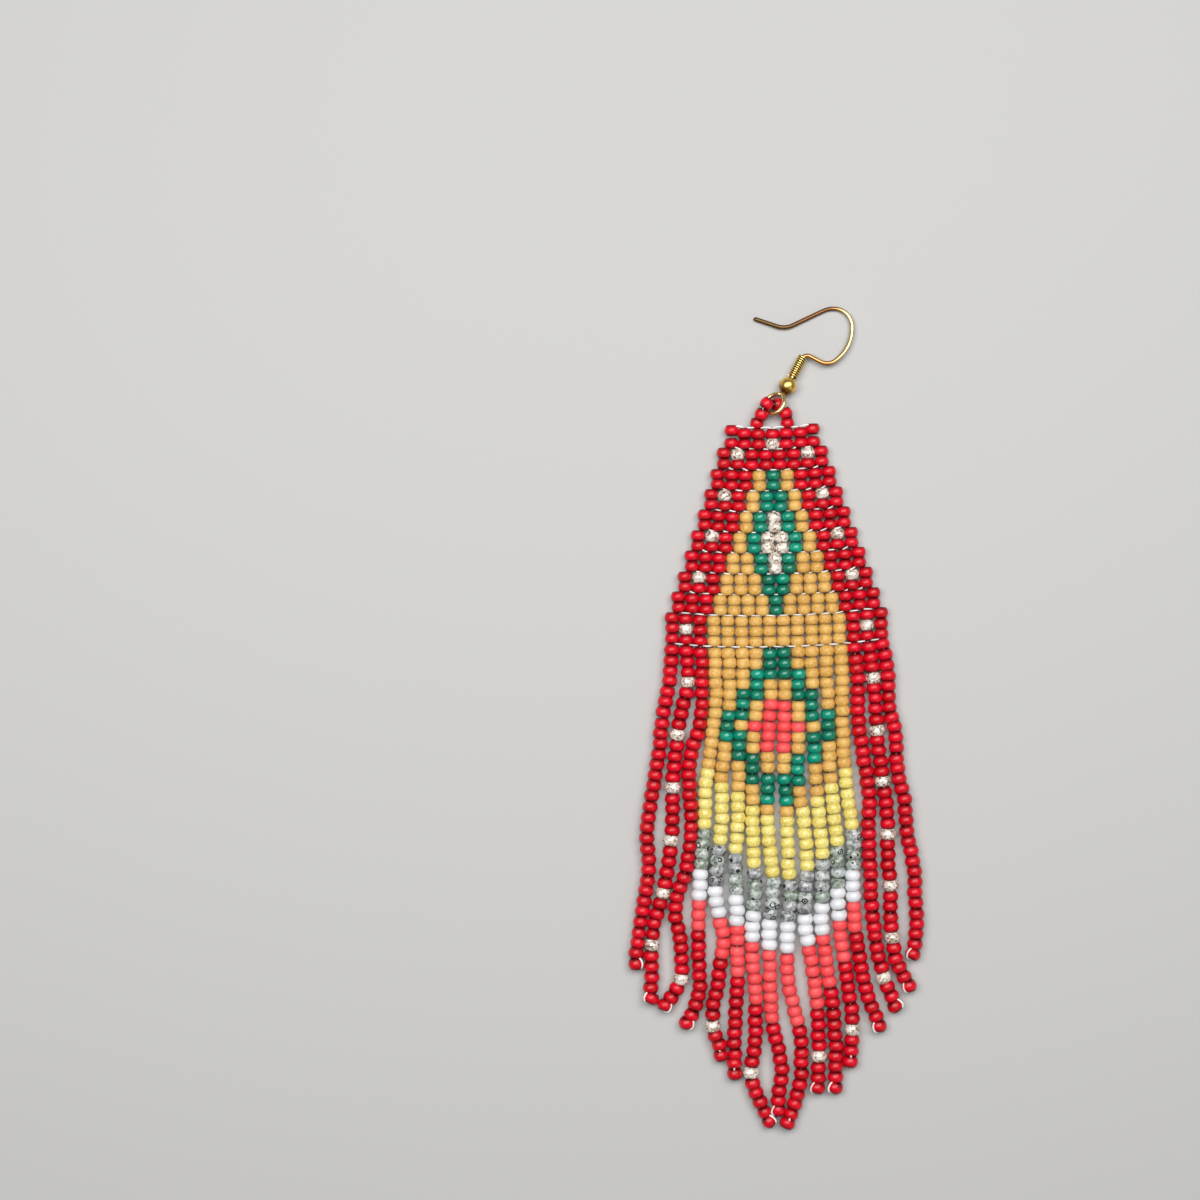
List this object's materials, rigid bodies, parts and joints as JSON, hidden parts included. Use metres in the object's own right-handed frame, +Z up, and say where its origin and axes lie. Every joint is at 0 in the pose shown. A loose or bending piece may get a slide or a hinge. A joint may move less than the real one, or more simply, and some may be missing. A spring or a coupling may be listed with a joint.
{
  "type": "seed bead tassel earring",
  "caption": "Seed bead earring: a tapered brick-stitched panel with a long bead fringe, hung from a brass fish hook by a bead loop.",
  "frame": {"origin": "on the surface that the earring lies on, under the middle of its box", "axes": "+Y from the fringe towards the hook, +Z up out of the surface, +X to the right of the face that shows"},
  "size_m": [0.0471, 0.1322, 0.0034],
  "materials": {
    "brass": "polished",
    "red_glass": "satin",
    "gold_glass": "satin",
    "coral_glass": "satin",
    "green_glass": "glossy",
    "yellow_glass": "satin",
    "white_glass": "glossy",
    "grey_glass": "glossy",
    "silver_lined_glass": "glossy",
    "thread": "matte"
  },
  "bodies": {
    "root": {"ear_hook": "brass", "hook_coil": "brass", "ball_bead": "brass", "hanging_loop": "red_glass", "bead_panel": "red_glass", "bead_fringe": "red_glass"}
  },
  "joints": []
}
